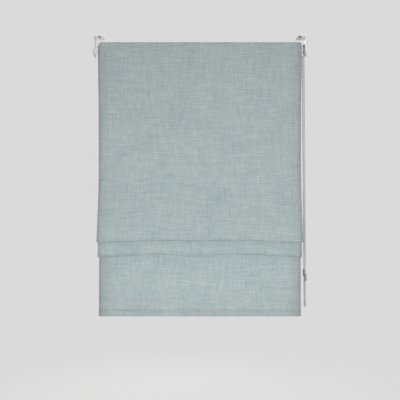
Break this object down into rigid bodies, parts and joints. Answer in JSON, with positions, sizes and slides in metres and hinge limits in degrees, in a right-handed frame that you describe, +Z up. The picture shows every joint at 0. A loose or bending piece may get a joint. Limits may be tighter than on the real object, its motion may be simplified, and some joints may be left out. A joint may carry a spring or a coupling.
{
  "type": "roman blind",
  "caption": "Chain-operated roman blind: flat linen-look panel gathered into soft folds above a plain lower panel, on a headrail between end brackets.",
  "frame": {"origin": "centre of the ceiling fixing holes, on the upper face of the bracket flanges and straight above the drive shaft", "axes": "+X to the right along the headrail, +Y towards the window behind the blind, +Z up"},
  "size_m": [0.6001, 0.0664, 0.79],
  "materials": {
    "white_steel": "white powder coat, satin",
    "white_rail": "white powder coat on an aluminium channel, satin",
    "hook_tape": "woven tape with short stiff hooks",
    "loop_tape": "woven tape with soft loops",
    "white_plastic": "moulded, fine satin grain",
    "natural_plastic": "moulded, natural off-white, slightly waxy",
    "spool_plastic": "moulded, satin",
    "dark_plastic": "moulded, dark grey",
    "ring_plastic": "moulded, semi-gloss",
    "spring_steel": "drawn wire",
    "shaft_steel": "drawn square bar, zinc plated",
    "chain_metal": "nickel plated, slightly dull",
    "connector_metal": "dark nickel",
    "lift_cord": "braided polyester cord",
    "face_linen": "plain woven linen look, slubbed, pale duck-egg blue",
    "lining_cotton": "fine plain weave, ivory",
    "rod_fibre": "pultruded glass fibre, satin",
    "bar_metal": "flat bar, mill finish"
  },
  "bodies": {
    "headrail": {"left_bracket": "white_steel", "right_bracket": "white_steel", "headrail": "white_rail", "hook_tape": "hook_tape", "loop_tape": "loop_tape", "left_end_cap": "white_plastic", "shaft_bush": "dark_plastic", "control_housing": "white_plastic", "control_cover": "white_plastic", "clutch_spring": "spring_steel", "left_cradle": "natural_plastic", "right_cradle": "natural_plastic", "bead_chain": "chain_metal", "chain_connector": "connector_metal", "chain_joiner": "connector_metal", "left_lift_cord": "lift_cord", "right_lift_cord": "lift_cord", "face_fabric": "face_linen", "lining": "lining_cotton"},
    "drive": {"drive_shaft": "shaft_steel", "chain_wheel": "natural_plastic", "left_spool": "spool_plastic", "right_spool": "spool_plastic"},
    "lower_stack": {"upper_rod": "rod_fibre", "middle_rod": "rod_fibre", "lower_rod": "rod_fibre", "upper_rings": "ring_plastic", "middle_rings": "ring_plastic", "lower_rings": "ring_plastic", "left_cord_stop": "ring_plastic", "right_cord_stop": "ring_plastic", "bottom_bar": "bar_metal", "left_bar_cap": "ring_plastic", "right_bar_cap": "ring_plastic"}
  },
  "joints": [
    {"name": "lift", "type": "slide", "parent": "headrail", "child": "lower_stack", "axis": [0, 0, 1], "range_m": [0, 0.28274], "deforming": ["face_fabric", "lining", "left_lift_cord", "right_lift_cord", "bead_chain"]},
    {"name": "drive_turn", "type": "hinge", "parent": "headrail", "child": "drive", "pos_m": [0, 0, -0.037], "axis": [1, 0, 0], "range_deg": [0, 1802]}
  ],
  "couplings": [
    {"joint": "drive_turn", "follows": "lift", "rad_per_m": 111.11}
  ]
}
